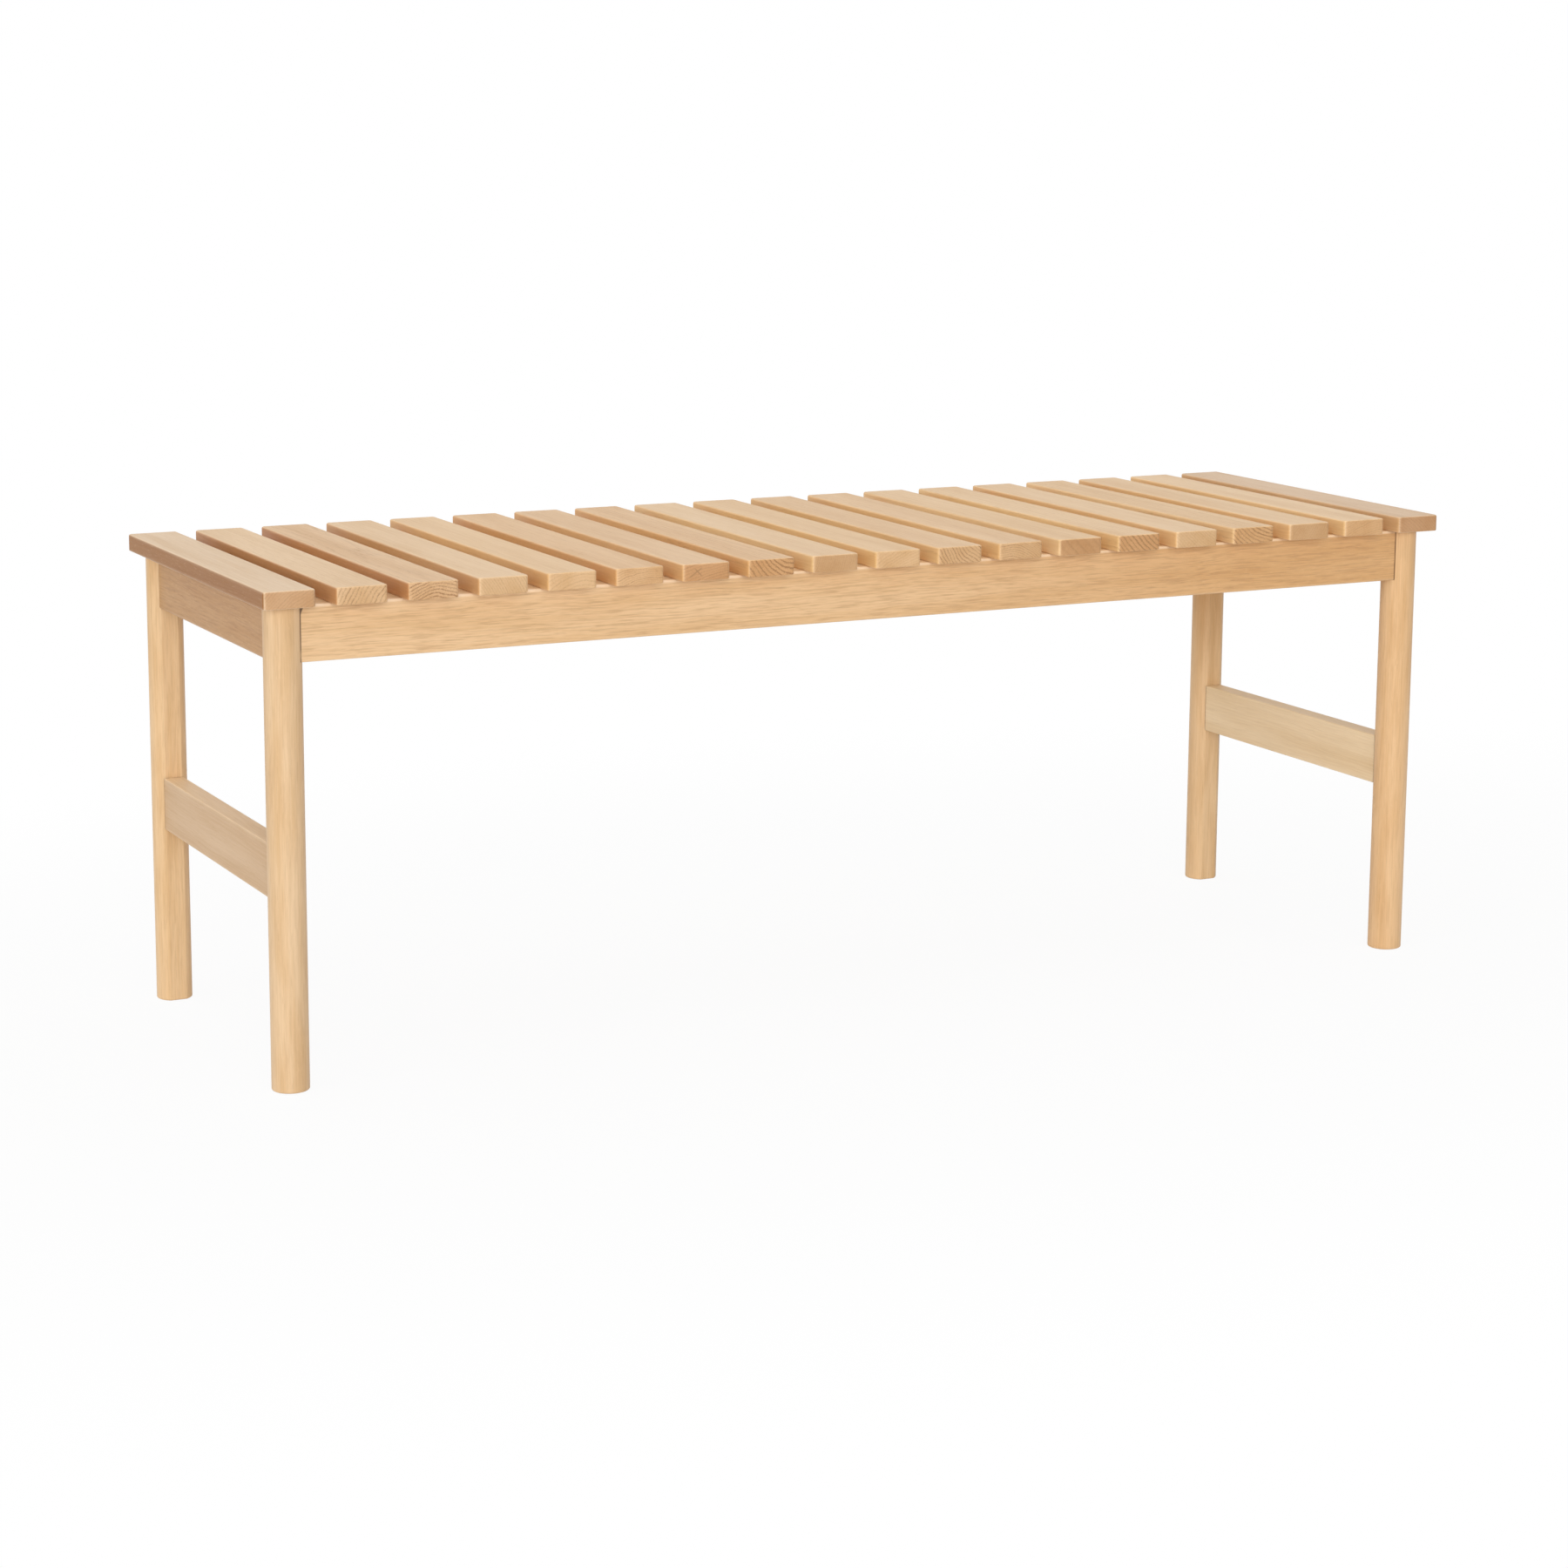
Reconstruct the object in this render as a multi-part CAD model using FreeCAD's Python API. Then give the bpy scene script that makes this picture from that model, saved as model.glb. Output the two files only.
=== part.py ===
import FreeCAD, Part

import math
import os

# Slatted oak bench, in millimetres.
# The origin is on the floor under the middle of the seat.
# X runs along the bench, Y from front to back, and Z is up.

# Overall size
bench_length = 1200.0
bench_depth = 390.0
bench_height = 438.0

# Seat slats, laid front to back on top of the frame
slat_count = 19
slat_width = 46.0
slat_thickness = 15.5
slat_top_round = 1.7
slat_bottom_round = 1.0
slat_corner_round = 3.5

# Round legs, each with a narrow flat facing the other leg of its end
leg_diameter = 33.0
leg_flat_depth = 2.0
foot_round = 1.6
slat_overhang = 11.5
end_overhang = 8.5

# Long rails under the front and back ends of the slats
rail_thickness = 22.0
rail_height = 49.0
rail_top_round = 3.0
rail_edge_round = 1.2
rail_seat_margin = 0.5

# End rails and low stretchers, which join the two legs of an end
end_rail_thickness = 19.0
stretcher_height = 48.5
stretcher_lift = 165.0
end_rail_edge_round = 1.2

# Battens on the inside of the long rails, level with their tops
batten_width = 20.0
batten_height = 20.0
batten_end_gap = 10.0
batten_edge_round = 1.2

# Small round on the shoulders, where a rail or stretcher meets a leg
shoulder_round = 0.8

# Tenons on the rails and stretchers, and their mortises in the legs
tenon_thickness = 9.0
tenon_shoulder = 4.0
tenon_web = 6.0
stretcher_tenon_shoulder = 10.0
tenon_past_axis = 8.0
tenon_fit = 0.1
mortise_end_gap = 1.0

# Dowels between the slats and what carries them
dowel_diameter = 8.0
dowel_in_rail = 20.0
dowel_cover = 5.0
dowel_fit = 0.1
dowel_end_gap = 1.0
end_dowel_spacing = 220.0

# Dowels between the battens and the long rails, under some of the gaps between slats
batten_dowel_reach = 12.0
first_batten_dowel = 1
batten_dowel_step = 5

# Places worked out from the sizes above
leg_radius = leg_diameter / 2
leg_x = bench_length / 2 - end_overhang - leg_radius
leg_y = bench_depth / 2 - slat_overhang - leg_radius
leg_flat = leg_radius - leg_flat_depth
seat_underside = bench_height - slat_thickness
rail_bottom = seat_underside - rail_height
rail_seat = math.sqrt(leg_radius**2 - (rail_thickness / 2 + rail_seat_margin) ** 2)
end_slat_x = (bench_length - slat_width) / 2
slat_pitch = 2 * end_slat_x / (slat_count - 1)
slat_places = [slat_pitch * i - end_slat_x for i in range(slat_count)]

# The two seat tenons in a leg pass each other: the long rail's is the lower one.
seat_tenon_height = (rail_height - 2 * tenon_shoulder - tenon_web) / 2
rail_tenon_low = rail_bottom + tenon_shoulder
end_tenon_low = seat_underside - tenon_shoulder - seat_tenon_height
stretcher_tenon_low = stretcher_lift + stretcher_tenon_shoulder
stretcher_tenon_height = stretcher_height - 2 * stretcher_tenon_shoulder

dowel_in_slat = slat_thickness - dowel_cover
dowel_bottom = seat_underside - dowel_in_rail
dowel_length = dowel_in_rail + dowel_in_slat

batten_face = leg_y - rail_thickness / 2
batten_middle = seat_underside - batten_height / 2
gap_places = [x + slat_pitch / 2 for x in slat_places[:-1]]
batten_dowel_places = gap_places[first_batten_dowel::batten_dowel_step]

# Depth by which a cutter reaches past the face that it cuts
cutter_reach = 5.0


def block(x, y, z):
    """A box between two values on each axis, given in either order."""
    low = FreeCAD.Vector(min(x), min(y), min(z))
    return Part.makeBox(abs(x[1] - x[0]), abs(y[1] - y[0]), abs(z[1] - z[0]), low)


def spread(middle, width):
    """The two ends of a width about its middle."""
    return (middle - width / 2, middle + width / 2)


def rise(low, height):
    """The two ends of a height above its low end."""
    return (low, low + height)


def rounded(board, radius, chosen):
    """A board with the chosen ones of its edges rounded over."""
    return board.makeFillet(radius, [edge for edge in board.Edges if chosen(edge)])


def eased(board, radius):
    """A board with its long edges rounded over, and its shoulders by a smaller radius."""
    half = board.BoundBox.DiagonalLength / 2
    board = rounded(board, radius, lambda edge: edge.Length > half)
    return rounded(board, shoulder_round, lambda edge: edge.Length < half)


def dowel_hole(x, y):
    """Cutter for one dowel's hole, through the joint between a slat and its rail."""
    low = FreeCAD.Vector(x, y, dowel_bottom - dowel_end_gap)
    return Part.makeCylinder(dowel_diameter / 2 + dowel_fit, dowel_length + 2 * dowel_end_gap, low)


def dowel(x, y):
    low = FreeCAD.Vector(x, y, dowel_bottom)
    return Part.makeCylinder(dowel_diameter / 2, dowel_length, low)


def batten_dowel_hole(x, side):
    """Cutter for a level hole across the joint between a batten and its rail."""
    start = FreeCAD.Vector(x, side * (batten_face + batten_dowel_reach + dowel_end_gap), batten_middle)
    length = 2 * (batten_dowel_reach + dowel_end_gap)
    return Part.makeCylinder(dowel_diameter / 2 + dowel_fit, length, start, FreeCAD.Vector(0, -side, 0))


def batten_dowel(x, side):
    start = FreeCAD.Vector(x, side * (batten_face + batten_dowel_reach), batten_middle)
    return Part.makeCylinder(dowel_diameter / 2, 2 * batten_dowel_reach, start, FreeCAD.Vector(0, -side, 0))


def end_dowel_places(end):
    """Middles of the two dowels under the slat at one end, -1 left or 1 right."""
    return [(end * leg_x, y) for y in spread(0, end_dowel_spacing)]


def rail_dowel_places(side):
    """Middles of the dowels along one long rail, -1 front or 1 back."""
    return [(x, side * leg_y) for x in slat_places[1:-1]]


def slat(index):
    """One seat slat, with blind holes underneath for its dowels."""
    x = slat_places[index]
    board = block(spread(x, slat_width), spread(0, bench_depth), rise(seat_underside, slat_thickness))
    middle = seat_underside + slat_thickness / 2
    board = rounded(board, slat_corner_round, lambda edge: edge.BoundBox.ZLength > slat_thickness / 2)
    board = rounded(board, slat_top_round, lambda edge: edge.BoundBox.ZMin > middle)
    board = rounded(board, slat_bottom_round, lambda edge: edge.BoundBox.ZMax < middle)
    if index == 0:
        places = end_dowel_places(-1)
    elif index == slat_count - 1:
        places = end_dowel_places(1)
    else:
        places = [(x, -leg_y), (x, leg_y)]
    return board.cut([dowel_hole(*place) for place in places])


def leg(end, side):
    """One leg: end is -1 left or 1 right, side is -1 front or 1 back."""
    x = end * leg_x
    y = side * leg_y
    post = Part.makeCylinder(leg_radius, seat_underside, FreeCAD.Vector(x, y, 0))
    across = spread(x, leg_diameter + cutter_reach)
    beyond_flat = (y - side * leg_flat, y - side * (leg_radius + cutter_reach))
    post = post.cut(block(across, beyond_flat, rise(0, seat_underside)))
    post = rounded(post, foot_round, lambda edge: edge.BoundBox.ZMax < foot_round / 2)

    beyond_seat = (x - end * rail_seat, x - end * (leg_radius + cutter_reach))
    along = spread(y, leg_diameter + cutter_reach)
    cutters = [block(beyond_seat, along, rise(rail_bottom, rail_height + cutter_reach))]

    tenon_tip = tenon_past_axis + mortise_end_gap
    slot = tenon_thickness + 2 * tenon_fit
    cutters.append(
        block(
            (x + end * tenon_tip, x - end * (rail_seat + cutter_reach)),
            spread(y, slot),
            rise(rail_tenon_low - tenon_fit, seat_tenon_height + 2 * tenon_fit),
        )
    )
    cross_tenons = [
        (end_tenon_low, seat_tenon_height),
        (stretcher_tenon_low, stretcher_tenon_height),
    ]
    for low, height in cross_tenons:
        cutters.append(
            block(
                spread(x, slot),
                (y + side * tenon_tip, y - side * (leg_flat + cutter_reach)),
                rise(low - tenon_fit, height + 2 * tenon_fit),
            )
        )
    return post.cut(cutters)


def long_rail(side):
    """A long rail with its tenons, -1 front or 1 back."""
    y = side * leg_y
    length = 2 * (leg_x - rail_seat)
    board = block(spread(0, length), spread(y, rail_thickness), rise(rail_bottom, rail_height))
    half = length / 2
    top = seat_underside - rail_edge_round

    def outer_top(edge):
        middle = edge.CenterOfMass
        return edge.Length > half and middle.z > top and side * (middle.y - y) > 0

    board = rounded(board, rail_edge_round, lambda edge: edge.Length > half and not outer_top(edge))
    board = rounded(board, rail_top_round, outer_top)
    board = rounded(board, shoulder_round, lambda edge: edge.Length < half)
    holes = [dowel_hole(*place) for place in rail_dowel_places(side)]
    holes += [batten_dowel_hole(x, side) for x in batten_dowel_places]
    board = board.cut(holes)
    tongue = block(
        spread(0, 2 * (leg_x + tenon_past_axis)),
        spread(y, tenon_thickness),
        rise(rail_tenon_low, seat_tenon_height),
    )
    ends = tongue.cut(block(spread(0, length), spread(y, rail_thickness), rise(rail_bottom, rail_height)))
    return board.fuse(ends.Solids).removeSplitter()


def batten(side):
    """A batten along the inside of a long rail, -1 front or 1 back."""
    length = 2 * (leg_x - end_rail_thickness / 2 - batten_end_gap)
    inside = side * (batten_face - batten_width)
    low = seat_underside - batten_height
    board = block(spread(0, length), (side * batten_face, inside), rise(low, batten_height))
    board = rounded(
        board, batten_edge_round, lambda edge: abs(edge.CenterOfMass.y - inside) < batten_edge_round
    )
    return board.cut([batten_dowel_hole(x, side) for x in batten_dowel_places])


def cross_board(end, low, height, tenon_low, tenon_height):
    """A board between the two legs of one end, with its tenons."""
    x = end * leg_x
    length = 2 * (leg_y - leg_flat)
    board = block(spread(x, end_rail_thickness), spread(0, length), rise(low, height))
    tongue = block(
        spread(x, tenon_thickness),
        spread(0, 2 * (leg_y + tenon_past_axis)),
        rise(tenon_low, tenon_height),
    )
    ends = tongue.cut(board)
    return eased(board, end_rail_edge_round).fuse(ends.Solids).removeSplitter()


def end_rail(end):
    board = cross_board(end, rail_bottom, rail_height, end_tenon_low, seat_tenon_height)
    return board.cut([dowel_hole(*place) for place in end_dowel_places(end)])


def stretcher(end):
    return cross_board(
        end, stretcher_lift, stretcher_height, stretcher_tenon_low, stretcher_tenon_height
    )


def dowels(places):
    """A set of separate upright dowels."""
    return Part.makeCompound([dowel(*place) for place in places])


pieces = {}
for index in range(slat_count):
    pieces[f"slat_{index + 1:02d}"] = slat(index)
for end_name, end in (("left", -1), ("right", 1)):
    for side_name, side in (("front", -1), ("back", 1)):
        pieces[f"leg_{side_name}_{end_name}"] = leg(end, side)
    pieces[f"end_rail_{end_name}"] = end_rail(end)
    pieces[f"stretcher_{end_name}"] = stretcher(end)
for side_name, side in (("front", -1), ("back", 1)):
    pieces[f"rail_{side_name}"] = long_rail(side)
    pieces[f"slat_dowels_{side_name}"] = dowels(rail_dowel_places(side))
    pieces[f"seat_batten_{side_name}"] = batten(side)
    level_dowels = [batten_dowel(x, side) for x in batten_dowel_places]
    pieces[f"batten_dowels_{side_name}"] = Part.makeCompound(level_dowels)
pieces["end_slat_dowels"] = dowels(end_dowel_places(-1) + end_dowel_places(1))

os.makedirs("parts", exist_ok=True)
for name, shape in pieces.items():
    shape.exportStep(f"parts/{name}.step")
    print(f"{name}: {len(shape.Solids)} solids, {shape.Volume / 1000:.1f} cm3, valid {shape.isValid()}")
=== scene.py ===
import math

import bpy
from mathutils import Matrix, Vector


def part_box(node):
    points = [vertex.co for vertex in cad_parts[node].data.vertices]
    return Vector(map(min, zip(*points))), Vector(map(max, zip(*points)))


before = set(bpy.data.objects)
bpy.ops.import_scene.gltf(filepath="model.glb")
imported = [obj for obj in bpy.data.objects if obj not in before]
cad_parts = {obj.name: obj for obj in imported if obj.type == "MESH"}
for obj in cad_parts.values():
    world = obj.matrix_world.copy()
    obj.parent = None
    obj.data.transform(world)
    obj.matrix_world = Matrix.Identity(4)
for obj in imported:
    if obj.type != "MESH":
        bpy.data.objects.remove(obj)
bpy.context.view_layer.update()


class Value:
    """One socket of a finish. Arithmetic on it adds Math nodes."""

    def __init__(self, finish, socket):
        self.finish = finish
        self.socket = socket

    def math(self, operation, *others):
        sockets = dict(enumerate((self, *others)))
        return self.finish.node("ShaderNodeMath", {"operation": operation}, sockets)

    def part(self, output):
        """Another output of the same node."""
        return Value(self.finish, self.socket.node.outputs[output])

    def smooth(self, low, high):
        """0 below low, 1 above high, and a smooth rise between them."""
        sockets = {"Value": self, "From Min": low, "From Max": high}
        return self.finish.node("ShaderNodeMapRange", {"interpolation_type": "SMOOTHSTEP"}, sockets)

    def __add__(self, other):
        return self.math("ADD", other)

    def __sub__(self, other):
        return self.math("SUBTRACT", other)

    def __mul__(self, other):
        return self.math("MULTIPLY", other)

    def __truediv__(self, other):
        return self.math("DIVIDE", other)

    def __rsub__(self, other):
        return self.finish.node("ShaderNodeMath", {"operation": "SUBTRACT"}, {0: other, 1: self})

    __radd__ = __add__
    __rmul__ = __mul__

    def __abs__(self):
        return self.math("ABSOLUTE")


class Finish:
    """The nodes of a material, or of the world."""

    def __init__(self, owner):
        owner.use_nodes = True
        self.tree = owner.node_tree
        self.tree.nodes.clear()

    def node(self, kind, settings=None, sockets=None, output=0):
        """A new node, with its settings and then its sockets' values or links."""
        node = self.tree.nodes.new(kind)
        for name, value in (settings or {}).items():
            setattr(node, name, value)
        for name, value in (sockets or {}).items():
            if isinstance(value, Value):
                self.tree.links.new(value.socket, node.inputs[name])
            else:
                node.inputs[name].default_value = value
        if node.outputs:
            return Value(self, node.outputs[output])

    def mix(self, share, first, second):
        """Two colours mixed, by the share of the second."""
        sockets = {0: share, 6: first, 7: second}
        return self.node("ShaderNodeMix", {"data_type": "RGBA"}, sockets, output=2)

    def toned(self, share, first, by):
        """A colour times another, by that share."""
        settings = {"data_type": "RGBA", "blend_type": "MULTIPLY"}
        return self.node("ShaderNodeMix", settings, {0: share, 6: first, 7: colour(*by)}, output=2)


def colour(red, green, blue):
    return (red, green, blue, 1.0)


def shaded(tint, by):
    """A colour times another, or times a number."""
    by = by if isinstance(by, tuple) else (by, by, by)
    return colour(*(a * b for a, b in zip(tint, by)))


# Oak, in the colours that it has after sanding and a matt oil
pale_oak = colour(0.81, 0.565, 0.328)
warm_oak = colour(0.69, 0.437, 0.214)
early_brown = colour(0.36, 0.19, 0.08)
# Painted shade in the crevices where the boards meet the legs
joint_shade_brown = colour(0.10, 0.052, 0.026)
# A pale colour for a painted highlight on the long rails' outer top edges
highlight_pale = colour(0.93, 0.73, 0.52)

# Beech, for the dowels
pale_beech = colour(0.68, 0.45, 0.27)
dark_beech = colour(0.52, 0.31, 0.17)

# How far each board's own colour is from the usual one; the stretchers' pale tones are partly painted
# light, making up for the shade under the seat
tones = {
    "silver": (1.0, 1.07, 1.23),
    # These two are partly painted light, for the stretchers under the seat
    "bleached": (1.14, 1.29, 1.46),
    "washed": (1.12, 1.22, 1.36),
    "pale": (1.02, 1.035, 1.06),
    "straw": (1.01, 1.0, 0.97),
    "honey": (0.99, 0.965, 0.94),
    "toasted": (0.97, 0.915, 0.85),
    "rosy": (0.97, 0.935, 0.91),
    "smoky": (0.89, 0.905, 1.0),
    "mellow": (0.94, 0.955, 0.985),
    "brown": (0.69, 0.565, 0.43),
}

# How far a board's sides are from its broad faces: partly the wood's own colour, and partly painted
# shade, darker and redder down the narrow gaps between the slats and on the left stretcher's sides
side_tones_and_shade = {
    "plain": (1.0, 1.0, 1.0),
    "light": (1.07, 1.07, 1.02),
    "straw": (1.03, 0.985, 0.83),
    "amber": (1.0, 0.92, 0.74),
    "orange": (0.96, 0.84, 0.66),
    "russet": (0.88, 0.72, 0.54),
    "rust": (0.81, 0.64, 0.47),
    "red": (0.75, 0.53, 0.37),
    "umber": (0.42, 0.235, 0.075),
    # Partly painted shade, for the left stretcher's sides below its paler top
    "ashen": (0.75, 0.685, 0.64),
}

# How much darker its sawn ends are
end_tones = {
    "fresh": (0.86, 0.81, 0.77),
    "dry": (0.81, 0.75, 0.68),
    "tan": (0.79, 0.675, 0.56),
    "dusky": (0.71, 0.61, 0.515),
    "dark": (0.73, 0.585, 0.46),
    "deep": (0.66, 0.535, 0.44),
}

# How much darker a board gets from one place along it to another: painted shade under the seat at the
# top of the back right leg, and the front rail darker towards its right end
darker_along_tint = (0.86, 0.75, 0.61)

# The frame is in metres, and the grain in millimetres
millimetres = 1000

# For a board's run along one axis, the two axes across it
crosswise = {"X": "YZ", "Y": "XZ", "Z": "XY"}

# The squared slant at which a face starts to count as a side or an end, and counts in full
square_on = (0.35, 0.9)

# How far the grain sways off the straight, and how far the rings drift and ripple
grain_sway = 7
ring_drift = 9
ring_ripple = 2.6

# Strips along the edges: how many millimetres in they start, and where they are strongest
edge_strip = (3.0, 0.4)
# The painted highlight along the long rails' outer top edges
highlight_strip = (3.0, 0.8)
highlight_drop = (3.2, 1.2)
# The painted shade at the joints, and the painted shadow notch at the top of one
joint_shade_strip = (1.7, 0.6)
notch_drop = (9.0, 0.0)

# The half width of a drying check, at its core and with its soft border, and how long it fades
check_width = (0.25, 0.9)
check_fade = 3.0

# How much the patches of colour show along the round legs, and on the flat boards
leg_patches = 1.1
flat_patches = 0.25


def rim(place, edge, strip):
    """0 further in than the strip, and 1 near the edge."""
    start, strongest = strip
    return place.smooth(edge - start, edge - strongest)


class Board:
    """Places on a board, in millimetres from its middle, and its grain."""

    def __init__(self, finish, node, run, seed):
        self.finish = finish
        self.seed = seed
        low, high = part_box(node)
        middle = (low + high) / 2
        half = (high - low) / 2 * millimetres
        coordinates = finish.node("ShaderNodeTexCoord", output="Object")
        parts = finish.node("ShaderNodeSeparateXYZ", sockets={0: coordinates})
        facing = finish.node("ShaderNodeSeparateXYZ", sockets={0: coordinates.part("Normal")})
        lengthwise, sideways = (facing.part(axis) for axis in (run, crosswise[run][0]))
        spot = {axis: (parts.part(axis) - middle["XYZ".index(axis)]) * millimetres for axis in "XYZ"}

        self.along = spot[run]
        self.across, self.up = (spot[axis] for axis in crosswise[run])
        self.half_across, self.half_up = (half["XYZ".index(axis)] for axis in crosswise[run])
        self.end = (lengthwise * lengthwise).smooth(*square_on)
        self.side = (sideways * sideways).smooth(*square_on)
        sway = (self.streaks(120, 60, 1, 0) - 0.5) * grain_sway
        self.swaying = (self.across + sway, self.up + sway)

    def streaks(self, length, width, detail, shift, grain=None):
        """Noise in streaks of about that length and width."""
        across, up = grain or (self.across, self.up)
        start = self.seed * 7.31 + shift * 3.7
        place = self.finish.node(
            "ShaderNodeCombineXYZ",
            sockets={
                "X": across / width + start,
                "Y": up / width - start,
                "Z": self.along / length + start,
            },
        )
        sockets = {"Vector": place, "Scale": 1.0, "Detail": detail}
        return self.finish.node("ShaderNodeTexNoise", sockets=sockets)

    def first_half(self):
        """1 in the left half of a long rail, or in the front half of a slat."""
        return (0 - self.along).smooth(0.0, 1.0)

    def long_edges(self):
        across_rim = rim(abs(self.across), self.half_across, edge_strip)
        return across_rim * rim(abs(self.up), self.half_up, edge_strip)

    def highlight_edge(self, highlight_side):
        """Where the painted highlight goes: the top edge at the front, for -1, or at the back, for 1.
        """
        across_rim = rim(self.across * highlight_side, self.half_across, highlight_strip)
        return across_rim * rim(self.up, self.half_up, highlight_drop)

    def year_rings(self, heart, ring_gap):
        """Where the rings round the heart start each year, and how brown they are there."""
        from_heart = self.across - heart[0]
        above_heart = self.up - heart[1]
        radius = (from_heart * from_heart + above_heart * above_heart).math("SQRT")
        drift = (self.streaks(260, 40, 1, 1) - 0.5) * ring_drift
        ripple = (self.streaks(38, 9, 2, 2) - 0.5) * ring_ripple
        year = (radius + drift + ripple) / ring_gap
        season = year.math("FRACT")
        sockets = {"W": year.math("FLOOR") + self.seed}
        growth = self.finish.node("ShaderNodeTexWhiteNoise", {"noise_dimensions": "1D"}, sockets)
        early = season.smooth(0.0, 0.12) * (1 - season.smooth(0.16, 0.55))
        broken = self.streaks(45, 1.5, 1, 10).smooth(0.3, 0.62)
        return early, early * (growth * 0.7 + 0.3) * (broken * 0.7 + 0.3)

    def joint_shade_line(self, shoulder, darkness, notch_width):
        """The painted shade where the board meets a leg, which widens into a painted shadow notch at
        the top of its first end.
        """
        wedge = rim(self.up, self.half_up, notch_drop) * self.first_half() * notch_width
        line = rim(abs(self.along) + wedge, shoulder, joint_shade_strip) * (self.streaks(9, 9, 0, 9) + 0.45)
        return (line * darkness).math("MINIMUM", 0.9)

    def drying_check(self, check_across, check_up, slope, reach):
        """A short crack in the front end: its middle, its slope in degrees and its half length."""
        flat = math.cos(math.radians(slope))
        rise = math.sin(math.radians(slope))
        from_middle = self.across - check_across
        above_middle = self.up - check_up
        beside = abs(from_middle * rise - above_middle * flat)
        lengthways = abs(from_middle * flat + above_middle * rise)
        crack = (1 - beside.smooth(*check_width)) * (1 - lengthways.smooth(reach - check_fade, reach))
        return crack * self.end * self.first_half()


def oak(
    node, run, heart, ring_gap, contrast, tone, sides, ends, figure, seed,
    joint=None, darker_span=None, highlight_side=None, checks=(),
):
    """Oak sawn from a log whose heart is that far from the board's middle, in millimetres.

    The contrast is how much the year rings show, and the figure how much the
    short streaks do. A joint is where the board meets a leg, how dark the
    painted shade along it is, and how wide that widens into a painted shadow
    notch at the top of one end. The board gets darker between two places
    along it. Its top edge gets a painted highlight at the front, -1, or at
    the back, 1. Checks are short cracks in its front end.
    """
    material = bpy.data.materials.new(f"oak_{node}")
    finish = Finish(material)
    board = Board(finish, node, run, seed)
    end = board.end
    swaying = board.swaying
    early, brown = board.year_rings(heart, ring_gap)

    # Pores, fibres and slow changes of colour along the board
    pores = board.streaks(11, 0.5, 0, 3).smooth(0.6, 0.75) * (early * 0.7 + 0.3)
    fibre = board.streaks(85, 1.7, 3, 4, swaying)
    cloud = board.streaks(330, 24, 1, 5)
    patch = board.streaks(75, 11, 1, 11, swaying)
    fleck = board.streaks(6, 1.1, 0, 6).smooth(0.66, 0.76)
    dash = board.streaks(30, 1.5, 2, 7, swaying).smooth(0.46, 0.66)
    speckle = board.streaks(14, 0.7, 1, 8, swaying).smooth(0.5, 0.72)

    # The wood's own colour, on its faces, sides and ends
    tint = tones[tone]
    patchy = leg_patches if run == "Z" else flat_patches
    warmth = (cloud - 0.5) * 1.3 + (fibre - 0.5) * 0.75 + (patch - 0.5) * patchy + 0.42
    wood = finish.mix(warmth.smooth(0.0, 1.0), shaded(pale_oak, tint), shaded(warm_oak, tint))
    # Darker between two places along the board: painted shade under the seat on the back right leg
    if darker_span:
        wood = finish.toned(board.along.smooth(*darker_span), wood, darker_along_tint)
    # The sides' tone, partly painted shade
    wood = finish.toned(board.side, wood, side_tones_and_shade[sides])
    wood = finish.toned(end, wood, end_tones[ends])

    # Rings, streaks and pores in brown, and a few pale flecks
    depth = (brown * (end * 0.8 + 0.1) + pores * 0.12 + speckle * end * 0.25) * contrast
    depth = depth + (dash * 0.2 + speckle * 0.12) * (1 - end) * figure + pores * 0.04
    wood = finish.mix(depth, wood, shaded(early_brown, tint))
    wood = finish.mix(fleck * (1 - end) * 0.10, wood, shaded(pale_oak, 1.06))

    # Long edges, a little smoother from sanding and use, and paler, partly from sanding and partly as a
    # painted highlight
    edge = board.long_edges()
    wood = finish.mix(edge * (0.12 + 0.2 * figure), wood, shaded(pale_oak, tint))
    # A painted highlight on the long rails' outer top edges
    if highlight_side:
        wood = finish.mix(board.highlight_edge(highlight_side) * 0.7, wood, highlight_pale)
    # Painted shade where the board meets a leg
    if joint:
        wood = finish.mix(board.joint_shade_line(*joint), wood, joint_shade_brown)
    for check in checks:
        wood = finish.mix(board.drying_check(*check) * 0.75, wood, early_brown)

    rough = (fibre - 0.5) * 0.12 + pores * 0.12 + end * 0.08 - edge * (0.17 * figure) + 0.47
    height = (fibre - 0.5) * 0.35 - pores * 0.8 - brown * 0.12
    sockets = {"Strength": 0.22, "Distance": 0.0003, "Height": height}
    bump = finish.node("ShaderNodeBump", sockets=sockets)
    shader = finish.node(
        "ShaderNodeBsdfPrincipled",
        sockets={"Base Color": wood, "Roughness": rough, "Normal": bump, "Specular IOR Level": 0.4},
    )
    finish.node("ShaderNodeOutputMaterial", sockets={"Surface": shader})
    return material


# Flecks in a metre of beech, along each axis
beech_flecks = {"X": 900, "Y": 900, "Z": 140}


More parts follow.
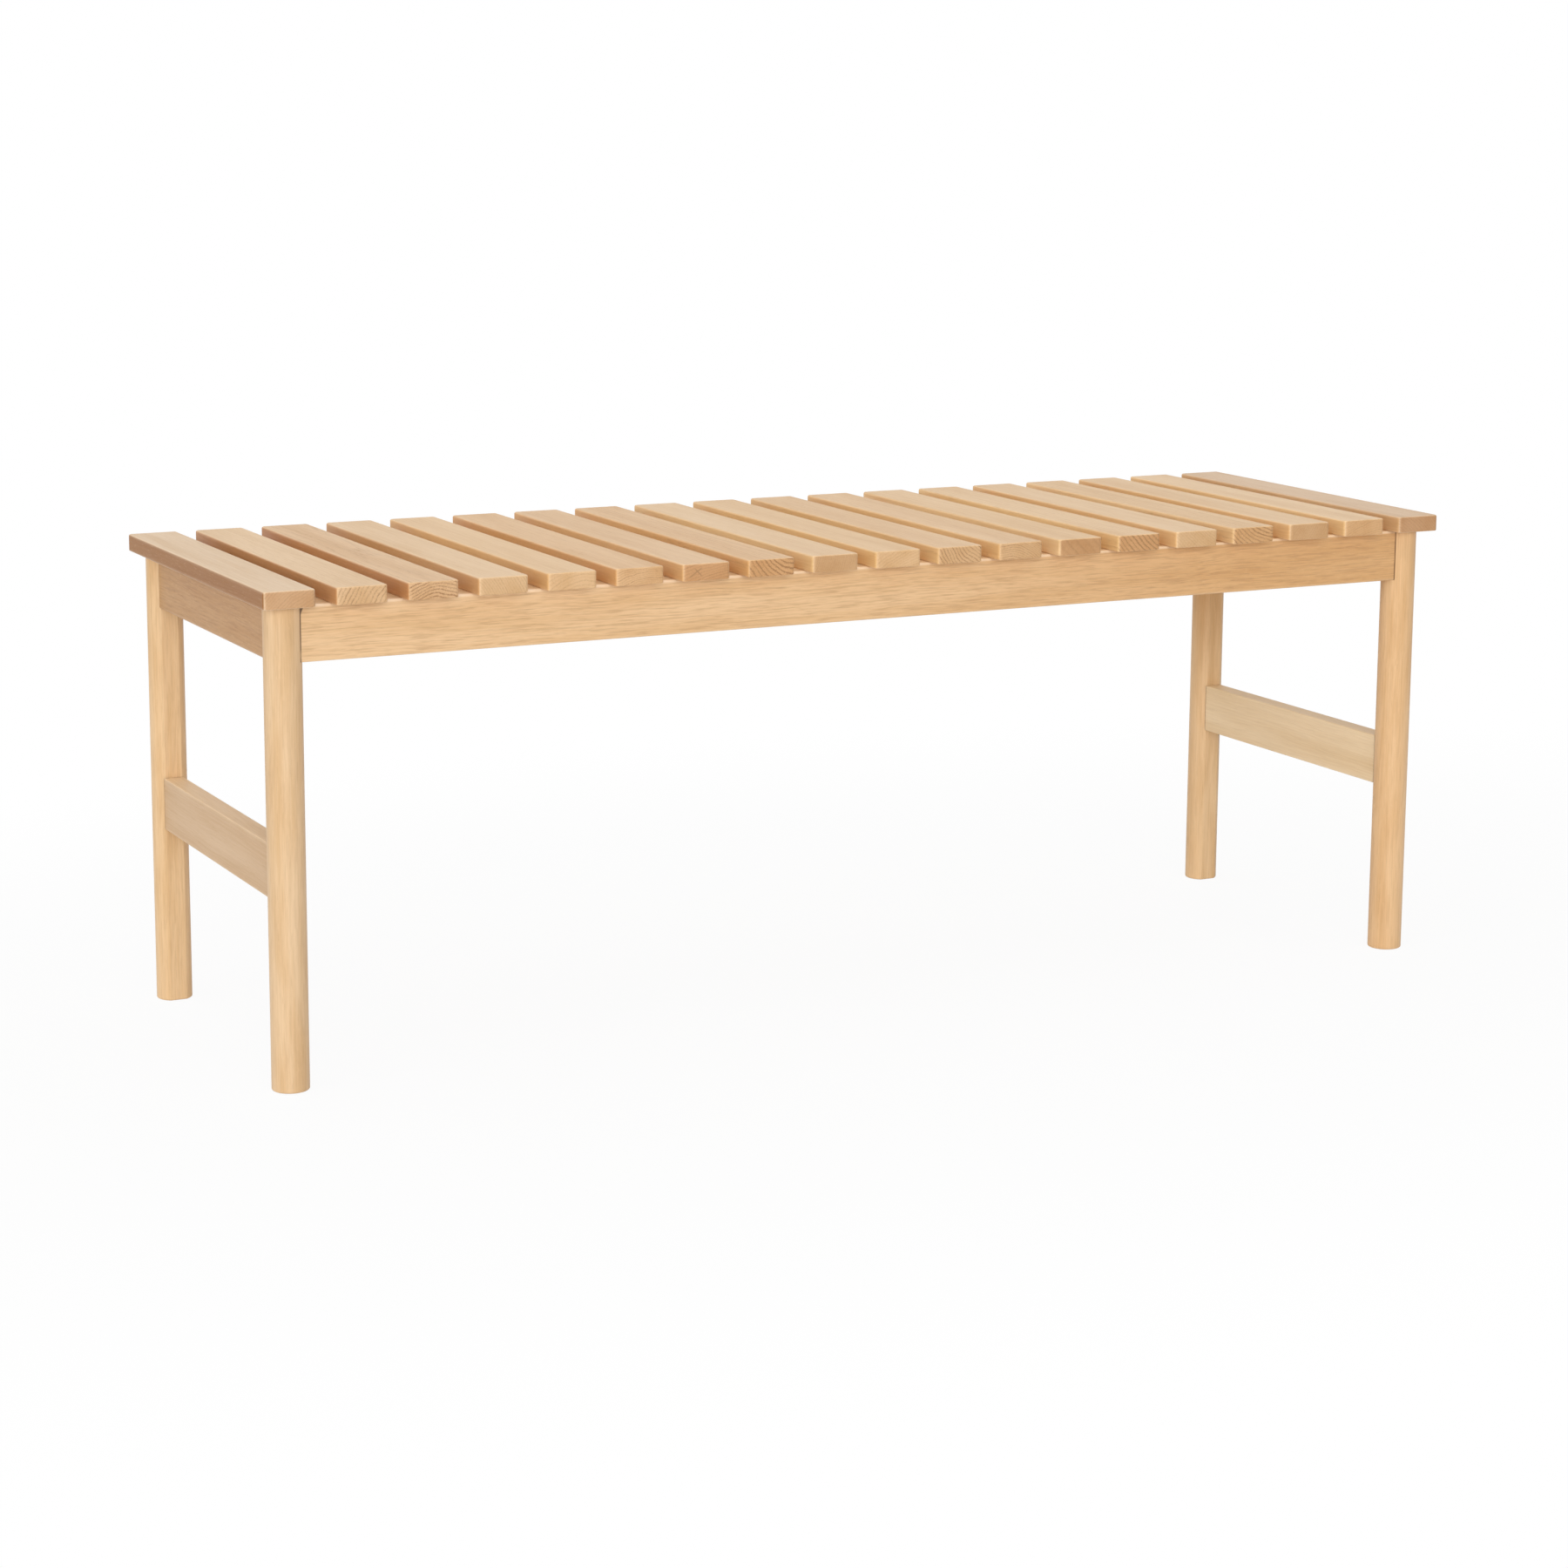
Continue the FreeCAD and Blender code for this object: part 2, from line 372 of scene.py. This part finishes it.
def beech(name):
    """Plain beech for the dowels, with fine short flecks."""
    material = bpy.data.materials.new(name)
    finish = Finish(material)
    coordinates = finish.node("ShaderNodeTexCoord", output="Object")
    parts = finish.node("ShaderNodeSeparateXYZ", sockets={0: coordinates})
    sockets = {axis: parts.part(axis) * count for axis, count in beech_flecks.items()}
    place = finish.node("ShaderNodeCombineXYZ", sockets=sockets)
    fleck = finish.node("ShaderNodeTexNoise", sockets={"Vector": place, "Scale": 1.0, "Detail": 2.0})
    wood = finish.mix(fleck.smooth(0.4, 0.7), pale_beech, dark_beech)
    rough = 0.5 + fleck * 0.1
    bump = finish.node("ShaderNodeBump", sockets={"Strength": 0.2, "Distance": 0.0002, "Height": fleck})
    sockets = {"Base Color": wood, "Roughness": rough, "Normal": bump}
    shader = finish.node("ShaderNodeBsdfPrincipled", sockets=sockets)
    finish.node("ShaderNodeOutputMaterial", sockets={"Surface": shader})
    return material


def dress(node, material):
    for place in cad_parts[node].material_slots:
        place.material = material


# The slats from left to right: where the heart of the log was, ring gap, contrast,
# and the tones of the top, the sides with their painted shade, and the ends
slat_cuts = [
    ((60, -70), 2.6, 0.6, "silver", "umber", "dark"),
    ((74, -52), 3.4, 1.2, "pale", "red", "fresh"),
    ((5, -62), 2.6, 2.0, "rosy", "red", "fresh"),
    ((-60, -40), 2.2, 0.5, "pale", "rust", "dry"),
    ((10, -38), 3.0, 0.45, "straw", "orange", "fresh"),
    ((15, -110), 1.9, 0.9, "toasted", "russet", "fresh"),
    ((20, -80), 2.6, 0.9, "rosy", "orange", "dark"),
    ((24, 26), 4.0, 2.3, "toasted", "orange", "tan"),
    ((-80, 30), 2.0, 0.5, "pale", "straw", "dusky"),
    ((34, -72), 2.5, 0.5, "straw", "amber", "fresh"),
    ((45, 40), 3.0, 1.5, "honey", "straw", "dry"),
    ((-15, -45), 2.0, 1.1, "honey", "amber", "dry"),
    ((60, 50), 7.0, 0.7, "straw", "light", "deep"),
    ((60, 60), 3.7, 2.5, "straw", "straw", "dark"),
    ((50, 60), 2.4, 0.45, "pale", "orange", "dry"),
    ((42, 68), 3.5, 2.2, "straw", "light", "tan"),
    ((-70, 50), 2.2, 0.4, "pale", "orange", "dusky"),
    ((30, -90), 2.2, 0.5, "pale", "amber", "tan"),
    ((-50, -60), 2.6, 0.5, "smoky", "orange", "dark"),
]
slat_figure = 0.3
# One slat has two drying checks that cross
drying_checks = {"slat_07": [(-11.0, -0.2, 34, 8.5), (-8.2, 0.0, -45, 6.0)]}
for number, cut in enumerate(slat_cuts, 1):
    node = f"slat_{number:02d}"
    checks = drying_checks.get(node, ())
    dress(node, oak(node, "Y", *cut, figure=slat_figure, seed=number, checks=checks))

# Where a board meets the legs, in millimetres from its middle
rail_shoulder = 563.2
cross_shoulder = 152.5
# That place, how dark the painted shade in the joint is, and how far it widens at the top into a
# painted shadow notch
front_joint = (rail_shoulder, 1.0, 2.6)
back_joint = (rail_shoulder, 0.8, 0.0)
cross_joint = (cross_shoulder, 0.6, 0.0)
dark_joint = (cross_shoulder, 1.1, 0.0)

# The frame: run, heart, ring gap, contrast, tone, sides, figure and joint of each board
frame_cuts = {
    "rail_front": ("X", (20, -60), 3.2, 0.8, "honey", "plain", 1.4, front_joint),
    "rail_back": ("X", (-30, 70), 2.8, 0.7, "honey", "plain", 0.8, back_joint),
    "seat_batten_front": ("X", (40, 30), 2.8, 0.6, "honey", "plain", 0.6, None),
    "seat_batten_back": ("X", (-35, 45), 2.6, 0.6, "straw", "plain", 0.6, None),
    "end_rail_left": ("Y", (40, 50), 2.6, 0.9, "brown", "plain", 1.0, cross_joint),
    "end_rail_right": ("Y", (-45, 60), 2.8, 0.7, "honey", "plain", 0.8, cross_joint),
    # The stretchers' pale tones hold painted light, and the left one's top is painted paler than its
    # sides
    "stretcher_left": ("Y", (-60, 30), 2.4, 0.4, "washed", "ashen", 0.3, dark_joint),
    "stretcher_right": ("Y", (50, -60), 2.4, 0.4, "bleached", "plain", 0.3, cross_joint),
    "leg_front_left": ("Z", (50, 40), 2.4, 0.6, "mellow", "plain", 0.55, None),
    "leg_back_left": ("Z", (-45, 60), 2.6, 0.6, "straw", "plain", 0.7, None),
    "leg_front_right": ("Z", (60, -30), 2.2, 0.6, "toasted", "plain", 0.55, None),
    "leg_back_right": ("Z", (-40, -50), 2.5, 0.6, "straw", "plain", 0.5, None),
}
frame_ends = "fresh"
first_frame_seed = 31
# Where two of them get darker, in millimetres from their middles: the back right leg towards its top,
# as painted shade under the seat, and the front rail towards its right end
darker_spans = {"rail_front": (-80, 420), "leg_back_right": (0, 130)}
# The long rails' outer top edges get a painted highlight
highlight_edges = {"rail_front": -1, "rail_back": 1}
for seed, (node, cut) in enumerate(frame_cuts.items(), first_frame_seed):
    *sawn, figure, joint = cut
    frame_oak = oak(
        node, *sawn, frame_ends, figure, seed,
        joint=joint, darker_span=darker_spans.get(node), highlight_side=highlight_edges.get(node),
    )
    dress(node, frame_oak)

dowel_beech = beech("beech_dowels")
for node in (
    "slat_dowels_front",
    "slat_dowels_back",
    "end_slat_dowels",
    "batten_dowels_front",
    "batten_dowels_back",
):
    dress(node, dowel_beech)


def mirrored_or_seen(finish):
    """1 for a ray from the camera or a reflection, and 0 for one that lights a matt surface."""
    camera_ray = finish.node("ShaderNodeLightPath", output="Is Camera Ray")
    either = camera_ray.math("MAXIMUM", camera_ray.part("Is Glossy Ray"))
    return either.math("MAXIMUM", camera_ray.part("Is Transmission Ray"))


# A pale floor, white to the camera apart from the bench's own faint shadow
white = colour(1.0, 1.0, 1.0)
floor_grey = colour(0.85, 0.85, 0.85)
floor_size = 60.0
floor_drop = 0.0002
# The shadow's share, the distances between which it fades, and their scale along each axis
shadow_share = 0.07
shadow_fade = (0.45, 1.2)
shadow_shape = (0.6, 1.0, 1.0)

floor_mesh = bpy.data.meshes.new("floor")
reach = floor_size / 2
floor_corners = [(-reach, -reach, 0), (reach, -reach, 0), (reach, reach, 0), (-reach, reach, 0)]
floor_mesh.from_pydata(floor_corners, [], [(0, 1, 2, 3)])
floor = bpy.data.objects.new("floor", floor_mesh)
floor.location.z = -floor_drop
bpy.context.scene.collection.objects.link(floor)

floor_paint = bpy.data.materials.new("floor_paint")
finish = Finish(floor_paint)
matt = finish.node("ShaderNodeBsdfDiffuse", sockets={"Color": floor_grey})
glow = finish.node("ShaderNodeEmission", sockets={"Color": white, "Strength": 1.0})
coordinates = finish.node("ShaderNodeTexCoord", output="Object")
sockets = {0: coordinates, 1: shadow_shape}
shortened = finish.node("ShaderNodeVectorMath", {"operation": "MULTIPLY"}, sockets)
away = finish.node("ShaderNodeVectorMath", {"operation": "LENGTH"}, {0: shortened}, "Value")
clear = away.smooth(*shadow_fade) * shadow_share + (1 - shadow_share)
sockets = {0: clear * mirrored_or_seen(finish), 1: matt, 2: glow}
surface = finish.node("ShaderNodeMixShader", sockets=sockets)
finish.node("ShaderNodeOutputMaterial", sockets={"Surface": surface})
floor_mesh.materials.append(floor_paint)

# Soft studio light: a surround that is brighter low down and at the left, and wide lamps
ambient = 0.62
ambient_fall = 0.42
ambient_lean = 0.30
world = bpy.data.worlds.new("studio")
bpy.context.scene.world = world
finish = Finish(world)
direction = finish.node("ShaderNodeTexCoord", output="Generated")
rightward = finish.node("ShaderNodeSeparateXYZ", sockets={0: direction})
upward = rightward.part("Z").math("MAXIMUM", 0.0)
lit = ambient - rightward * ambient_lean - upward * ambient_fall
strength = mirrored_or_seen(finish) * (1 - lit) + lit
surround = finish.node("ShaderNodeBackground", sockets={"Color": white, "Strength": strength})
finish.node("ShaderNodeOutputWorld", sockets={"Surface": surround})


def lamp(name, place, target, width, height, power):
    light = bpy.data.lights.new(name, "AREA")
    light.shape = "RECTANGLE"
    light.size = width
    light.size_y = height
    light.energy = power
    holder = bpy.data.objects.new(name, light)
    holder.location = place
    holder.rotation_euler = (Vector(target) - Vector(place)).to_track_quat("-Z", "Y").to_euler()
    bpy.context.scene.collection.objects.link(holder)


under_seat = (0, 0, 0.3)
lamp("front_lamp", place=(-1.95, -7.26, 2.2), target=under_seat, width=6.0, height=3.3, power=265.0)
lamp("left_lamp", place=(-6.81, -3.18, 2.2), target=under_seat, width=5.0, height=3.0, power=100.0)
lamp("overhead_lamp", place=(0, 0, 5.0), target=(0, 0, 0), width=6.0, height=6.0, power=125.0)

# The camera, from the left of the front and a little above the seat
camera_turn = (79.654, -0.3465, -26.7067)
camera_data = bpy.data.cameras.new("camera")
camera_data.sensor_width = 36.0
camera_data.lens = 81.936
camera_data.shift_y = -0.06
camera = bpy.data.objects.new("camera", camera_data)
camera.location = (-1.5319, -3.00232, 0.89276)
camera.rotation_euler = [math.radians(angle) for angle in camera_turn]
bpy.context.scene.collection.objects.link(camera)
bpy.context.scene.camera = camera
bpy.context.scene.view_settings.view_transform = "Standard"
